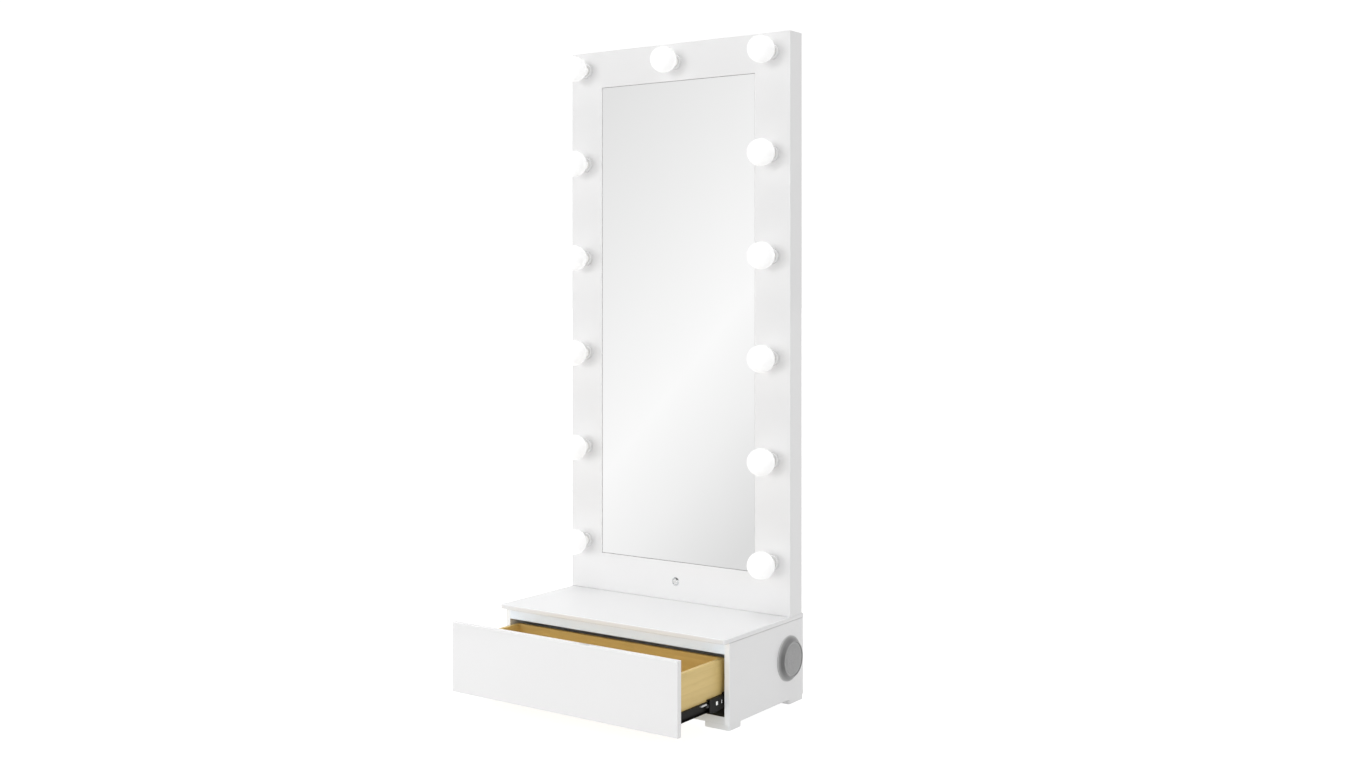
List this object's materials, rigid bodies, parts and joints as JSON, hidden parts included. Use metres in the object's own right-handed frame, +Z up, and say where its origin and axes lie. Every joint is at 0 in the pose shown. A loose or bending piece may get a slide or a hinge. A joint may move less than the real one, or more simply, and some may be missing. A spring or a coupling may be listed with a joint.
{
  "type": "lighted floor mirror with drawer cabinet",
  "caption": "Tall mirror framed by globe lamps, standing on a low cabinet with one wide drawer and a round loudspeaker in each side.",
  "frame": {"origin": "on the floor under the middle of the whole object, with its drawer standing open 219 mm", "axes": "+X to the right as seen from the front, +Y towards the wall behind, +Z up"},
  "size_m": [0.828, 0.63, 1.93],
  "materials": {
    "lacquer": "white gloss lacquer on fibreboard",
    "hardboard": "white-faced hardboard",
    "birch": "clear-lacquered birch",
    "slide_coat": "black coated steel",
    "bearing_steel": "bright steel balls in zinc-plated strips",
    "zinc_steel": "zinc-plated steel",
    "mirror": "silvered float glass",
    "opal_glass": "satin opal glass",
    "porcelain": "glazed white porcelain",
    "collar": "white satin moulded ring",
    "chrome": "polished chrome",
    "button_steel": "spun bright steel",
    "speaker_plastic": "satin plastic, mid-grey with a darker wall and a pale rim",
    "speaker_mesh": "grey powder-coated woven mesh",
    "speaker_metal": "black painted steel",
    "case_plastic": "black moulded plastic",
    "cable_jacket": "white cable jacket"
  },
  "bodies": {
    "cabinet": {"amplifier": "case_plastic", "back_panel": "hardboard", "bottom_panel": "lacquer", "bulb_left_1": "opal_glass", "bulb_left_2": "opal_glass", "bulb_left_3": "opal_glass", "bulb_left_4": "opal_glass", "bulb_left_5": "opal_glass", "bulb_left_6": "opal_glass", "bulb_right_1": "opal_glass", "bulb_right_2": "opal_glass", "bulb_right_3": "opal_glass", "bulb_right_4": "opal_glass", "bulb_right_5": "opal_glass", "bulb_right_6": "opal_glass", "bulb_top": "opal_glass", "feet_front": "lacquer", "feet_rear": "lacquer", "front_rail": "lacquer", "lamp_cable": "cable_jacket", "lamp_sockets": "porcelain", "led_driver": "case_plastic", "mirror_backing": "hardboard", "mirror_clips": "zinc_steel", "mirror_glass": "mirror", "power_button_ring": "chrome", "power_inlet": "case_plastic", "rear_divider": "hardboard", "side_panel_left": "lacquer", "side_panel_right": "lacquer", "slide_outer_left": "slide_coat", "slide_outer_right": "slide_coat", "socket_collars": "collar", "speaker_bezel_left": "speaker_plastic", "speaker_bezel_right": "speaker_plastic", "speaker_drivers": "speaker_metal", "speaker_grille_left": "speaker_mesh", "speaker_grille_right": "speaker_mesh", "strap_brackets": "zinc_steel", "top_slab": "lacquer", "tower_back_panel": "hardboard", "tower_base": "lacquer", "tower_bolts": "zinc_steel", "tower_front_board": "lacquer", "tower_side_left": "lacquer", "tower_side_right": "lacquer", "tower_top": "lacquer"},
    "drawer": {"drawer_front": "lacquer", "drawer_side_left": "birch", "drawer_side_right": "birch", "drawer_inner_front": "birch", "drawer_back": "birch", "drawer_bottom": "birch", "slide_inner_left": "slide_coat", "slide_inner_right": "slide_coat"},
    "slide_middles": {"slide_middle_left": "slide_coat", "slide_middle_right": "slide_coat"},
    "outer_cages": {"ball_cages_outer": "bearing_steel"},
    "inner_cages": {"ball_cages_inner": "bearing_steel"},
    "power_button": {"power_button_cap": "button_steel"}
  },
  "joints": [
    {"name": "drawer_slide", "type": "slide", "parent": "cabinet", "child": "drawer", "axis": [0, -1, 0], "range_m": [-0.219, 0.031]},
    {"name": "middle_member_slide", "type": "slide", "parent": "cabinet", "child": "slide_middles", "axis": [0, -1, 0], "range_m": [-0.1095, 0.0155]},
    {"name": "outer_cage_slide", "type": "slide", "parent": "cabinet", "child": "outer_cages", "axis": [0, -1, 0], "range_m": [-0.05475, 0.00775]},
    {"name": "inner_cage_slide", "type": "slide", "parent": "cabinet", "child": "inner_cages", "axis": [0, -1, 0], "range_m": [-0.16425, 0.02325]},
    {"name": "power_button_press", "type": "slide", "parent": "cabinet", "child": "power_button", "axis": [0, 1, 0], "range_m": [0, 0.0015], "stiffness_N_per_m": 800}
  ],
  "couplings": [
    {"joint": "middle_member_slide", "follows": "drawer_slide", "ratio": 0.5},
    {"joint": "outer_cage_slide", "follows": "drawer_slide", "ratio": 0.25},
    {"joint": "inner_cage_slide", "follows": "drawer_slide", "ratio": 0.75}
  ]
}
